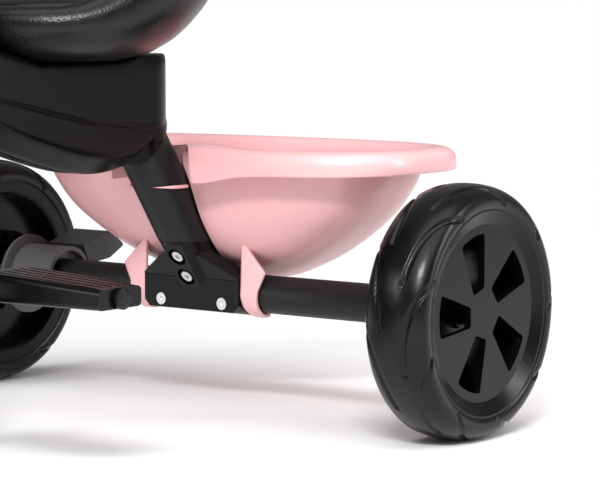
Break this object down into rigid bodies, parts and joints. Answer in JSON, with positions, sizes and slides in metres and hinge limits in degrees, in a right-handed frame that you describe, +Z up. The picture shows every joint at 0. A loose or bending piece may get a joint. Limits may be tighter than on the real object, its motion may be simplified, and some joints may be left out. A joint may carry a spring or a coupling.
{
  "type": "children's tricycle",
  "caption": "Children's pedal tricycle: bent steel frame under a moulded casing, bucket seat, foamed tyres, rear basket, foot brake on one rear wheel.",
  "frame": {"origin": "on the floor, below the middle of the whole tricycle", "axes": "+X to the rider's left, +Y backwards from the front wheel to the basket, +Z up"},
  "size_m": [0.538, 0.657, 0.4954],
  "materials": {
    "black_paint": "satin black stove enamel",
    "black_plastic": "moulded black polypropylene with a satin face",
    "black_casing": "moulded black plastic with a soft gloss",
    "black_foam": "foamed rubber-like tyre with a smooth skin",
    "pink_plastic": "glossy pale pink polypropylene",
    "seat_black": "black seat skin with a fine pebbled grain",
    "bright_steel": "zinc plated steel",
    "grey_plastic": "mid grey moulded plastic",
    "dark_grey_plastic": "dark grey moulded plastic",
    "grip_rubber": "soft ribbed grip rubber"
  },
  "bodies": {
    "frame": {"rear_axle_tube": "black_paint", "rear_axle_rod": "bright_steel", "axle_bush_left": "black_plastic", "axle_bush_right": "black_plastic", "axle_washers": "bright_steel", "axle_lock_nuts": "bright_steel", "down_tube": "black_paint", "main_tube": "black_paint", "head_tube": "black_paint", "headset_bush_lower": "black_plastic", "headset_bush_upper": "black_plastic", "axle_bracket": "black_plastic", "bracket_strap": "black_plastic", "bracket_bolts": "bright_steel", "bracket_nuts": "bright_steel", "saddle_screws": "bright_steel", "body_shell_left": "black_casing", "body_shell_right": "black_casing", "shell_screws": "bright_steel", "seat_mount_plate": "black_plastic", "seat_pan": "seat_black", "seat_cushion": "seat_black", "seat_screws": "bright_steel", "basket": "pink_plastic", "brake_collar": "black_plastic", "brake_collar_screw": "bright_steel"},
    "steering": {"fork_crown": "black_plastic", "fork_steerer": "black_paint", "fork_leg_left": "black_paint", "fork_leg_right": "black_paint", "fork_bush_left": "black_plastic", "fork_bush_right": "black_plastic", "front_fender": "pink_plastic", "fender_screw": "bright_steel", "handlebar_stem": "black_plastic", "handlebar": "black_paint", "grip_left": "grip_rubber", "grip_right": "grip_rubber", "stem_screws": "bright_steel"},
    "front_wheel": {"front_wheel_core": "black_plastic", "front_tyre": "black_foam", "front_wheel_cover_left": "black_plastic", "front_wheel_cover_right": "black_plastic", "crank": "bright_steel", "crank_spacers": "black_plastic", "pedal_caps": "bright_steel"},
    "left_pedal": {"pedal_left": "black_plastic"},
    "right_pedal": {"pedal_right": "black_plastic"},
    "rear_left_wheel": {"rear_left_wheel_core": "black_plastic", "rear_left_tyre": "black_foam", "rear_left_wheel_cover": "black_plastic"},
    "rear_right_wheel": {"rear_right_wheel_core": "black_plastic", "rear_right_tyre": "black_foam", "rear_right_wheel_cover": "black_plastic"},
    "brake_lever": {"brake_sleeve": "grey_plastic", "brake_pedal": "dark_grey_plastic"},
    "brake_pin": {"brake_pin": "bright_steel"}
  },
  "joints": [
    {"name": "steering_turn", "type": "hinge", "parent": "frame", "child": "steering", "pos_m": [0, -0.2015, 0.125], "axis": [0, 0.2588, 0.9659], "range_deg": [-40, 40]},
    {"name": "front_wheel_spin", "type": "hinge", "parent": "steering", "child": "front_wheel", "pos_m": [0, -0.2015, 0.125], "axis": [1, 0, 0], "continuous": true},
    {"name": "left_pedal_spin", "type": "hinge", "parent": "front_wheel", "child": "left_pedal", "pos_m": [0.139, -0.1215, 0.131], "axis": [1, 0, 0], "continuous": true},
    {"name": "right_pedal_spin", "type": "hinge", "parent": "front_wheel", "child": "right_pedal", "pos_m": [-0.139, -0.2815, 0.119], "axis": [1, 0, 0], "continuous": true},
    {"name": "rear_left_wheel_spin", "type": "hinge", "parent": "frame", "child": "rear_left_wheel", "pos_m": [0.243, 0.1985, 0.095], "axis": [1, 0, 0], "continuous": true},
    {"name": "rear_right_wheel_spin", "type": "hinge", "parent": "frame", "child": "rear_right_wheel", "pos_m": [-0.243, 0.1985, 0.095], "axis": [1, 0, 0], "continuous": true},
    {"name": "brake_lever_press", "type": "hinge", "parent": "frame", "child": "brake_lever", "pos_m": [-0.175, 0.1985, 0.095], "axis": [1, 0, 0], "range_deg": [-25, 0]},
    {"name": "brake_pin_slide", "type": "slide", "parent": "frame", "child": "brake_pin", "axis": [-1, 0, 0], "range_m": [0, 0.005]}
  ],
  "couplings": [
    {"joint": "brake_pin_slide", "follows": "brake_lever_press", "m_per_rad": -0.011459}
  ]
}
